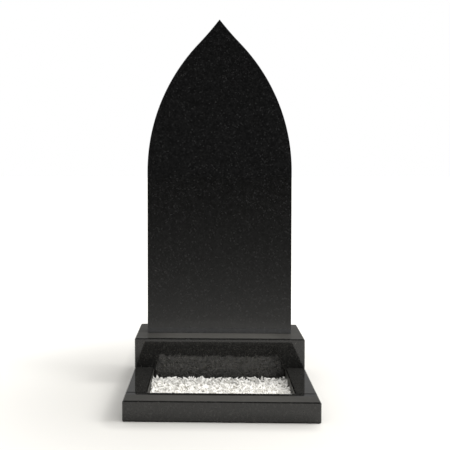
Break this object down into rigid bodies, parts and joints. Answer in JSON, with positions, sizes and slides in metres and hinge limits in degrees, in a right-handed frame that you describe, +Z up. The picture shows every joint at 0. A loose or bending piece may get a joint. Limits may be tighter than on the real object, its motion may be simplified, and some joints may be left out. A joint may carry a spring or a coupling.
{
  "type": "headstone",
  "caption": "Upright polished black granite headstone with a pointed-arch top on a plinth, with a low granite kerb in front around a bed of white marble chips.",
  "frame": {"origin": "on the ground, under the middle of the whole monument", "axes": "+Z up, -Y towards the front where the inscription face looks, +X to the right as seen from the front"},
  "size_m": [0.7, 0.71, 1.5201],
  "materials": {
    "polished_granite": "mirror-polished black granite with fine grey specks",
    "white_marble": "crushed white marble, dull broken faces"
  },
  "bodies": {
    "root": {"stele": "polished_granite", "plinth": "polished_granite", "kerb_front": "polished_granite", "kerb_left": "polished_granite", "kerb_right": "polished_granite", "marble_chips": "white_marble"}
  },
  "joints": []
}
